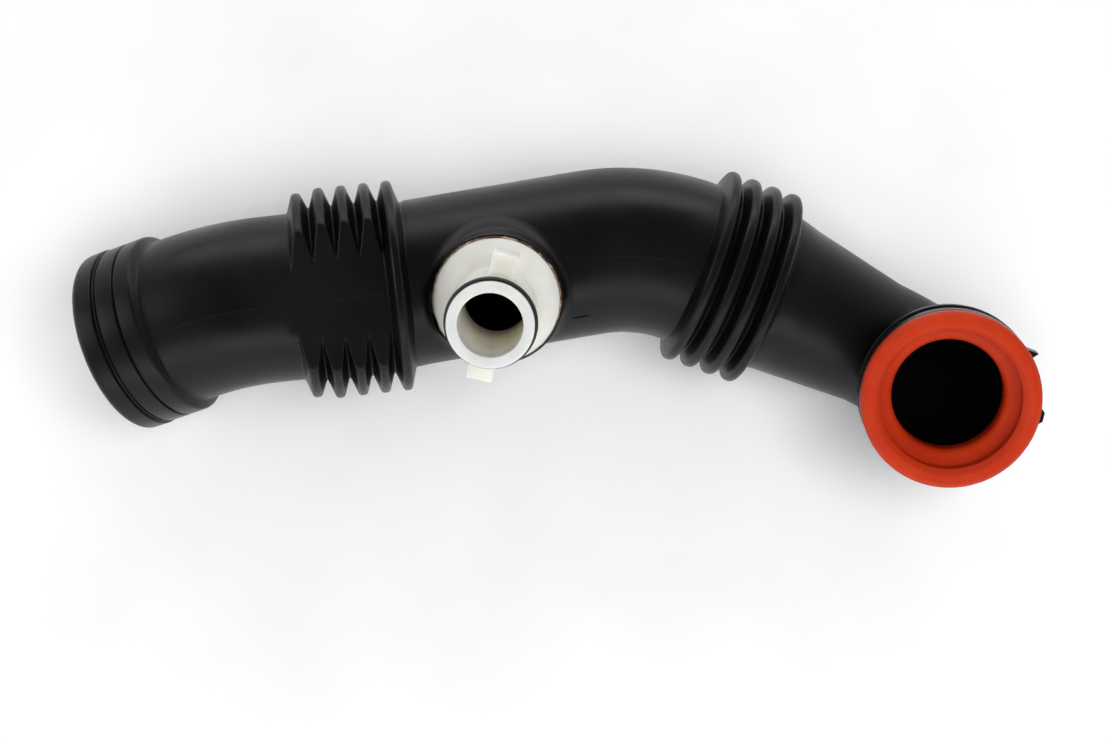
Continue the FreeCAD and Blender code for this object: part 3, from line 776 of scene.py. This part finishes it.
# %% Finish each node
ROUNDING_MM = {
    "end_collar": 0.35,
    "inlet_seal": 0.45,
    "breather_spigot": 0.4,
}
JOIN_MM, BEVEL_STEPS, SHARP_TURN = 0.002, 3, math.radians(25)


def rounded(thing, width_mm):
    """Joins the facets, rounds the edges and shades the result smoothly."""
    weld = thing.modifiers.new("join_facets", "WELD")
    weld.merge_threshold = JOIN_MM * MM
    bevel = thing.modifiers.new("round_edges", "BEVEL")
    bevel.width = width_mm * MM
    bevel.segments = BEVEL_STEPS
    bevel.limit_method = "ANGLE"
    bevel.angle_limit = SHARP_TURN
    bevel.use_clamp_overlap = False
    bevel.harden_normals = True
    for polygon in thing.data.polygons:
        polygon.use_smooth = True


for name, node in nodes.items():
    node.data.materials.clear()
    node.data.materials.append(FINISHES[name])
    if name in ROUNDING_MM:
        rounded(node, ROUNDING_MM[name])
print("finished", len(nodes), "nodes")

# %% [markdown]
# ## Table
# The duct lies on a white ground. A plain background could stand for it, but a real plane takes
# the soft shadow that shows where the duct rests and throws light up under it.

# %% Table
TABLE_SIZE = 6.0


def pale_table():
    """Smooth white paint with a very slight change of tone."""
    material, tree, shader, place = new_material("painted_table_white")
    clouds = add(tree, NOISE, {"Vector": place, "Scale": features(60.0), "Detail": 2.0})
    share = add(tree, RANGE, {"Value": clouds, **SPREAD})
    tones = {FIRST: colour("#f7f7f8"), SECOND: colour("#fbfbfc")}
    feed(tree, shader, {
        "Base Color": add(tree, MIX, {"Factor": share, **tones}, **OF_COLOURS),
        "Roughness": 0.7,
    })
    return material


bpy.ops.mesh.primitive_plane_add(size=TABLE_SIZE, location=(0, 0, 0))
table = bpy.context.object
table.name = "table"
table.data.materials.append(pale_table())
table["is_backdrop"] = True
print("table:", TABLE_SIZE, "m wide")

# %% [markdown]
# ## Lights
# The photograph has soft light from both long sides, so the duct's edges shine and its middle
# stays dark. One sky could light it all, but it would shine evenly everywhere. Large softboxes
# lie along both sides, and one beside the camera lights the table and the spigot. That one is
# hidden from reflections, because its gloss would whiten the duct's middle.

# %% Lights
LIGHT_AIM = Vector((0, 0, 40)) * MM
SKY_DIM_AT, SKY_STRENGTH = 0.7, 0.9


def softbox(name, place_mm, size_mm, watts):
    """A large soft light that faces the middle of the object."""
    data = bpy.data.lights.new(name, "AREA")
    data.shape = "RECTANGLE"
    data.size, data.size_y = size_mm[0] * MM, size_mm[1] * MM
    data.energy = watts
    light = bpy.data.objects.new(name, data)
    light.location = Vector(place_mm) * MM
    light.rotation_euler = (LIGHT_AIM - light.location).to_track_quat("-Z", "Y").to_euler()
    bpy.context.scene.collection.objects.link(light)
    return light


softbox("top_softbox", (250, -380, 1250), (1100, 700), 12).visible_glossy = False
softbox("far_softbox", (0, 1100, 520), (1800, 500), 7)
softbox("near_softbox", (0, -1100, 480), (1800, 450), 5)
softbox("left_softbox", (-1200, 0, 600), (700, 900), 3)

world = bpy.data.worlds.new("studio")
world.use_nodes = True
sky = world.node_tree
way = add(sky, "ShaderNodeTexCoord", {}, out="Generated")
height = add(sky, "ShaderNodeSeparateXYZ", {"Vector": way}, out="Z")
share = add(sky, RANGE, {"Value": height, "From Min": 0.0, "From Max": SKY_DIM_AT})
tones = {FIRST: colour("#f6f6f8"), SECOND: colour("#7c7c7e")}
dim = add(sky, MIX, {"Factor": share, **tones}, **OF_COLOURS)
feed(sky, sky.nodes["Background"], {"Color": dim, "Strength": SKY_STRENGTH})
bpy.context.scene.world = world
bpy.context.scene.view_settings.view_transform = "Standard"

# %% [markdown]
# ## Finish
# The boxes of the CAD model and of the finished model are printed side by side, so that any
# change of the object's size by the looks shows.

# %% Sizes and finish
seen_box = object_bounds()
for title, box in (("CAD box", cad_box), ("seen box", seen_box)):
    print(title, [[round(c, 4) for c in corner] for corner in box])
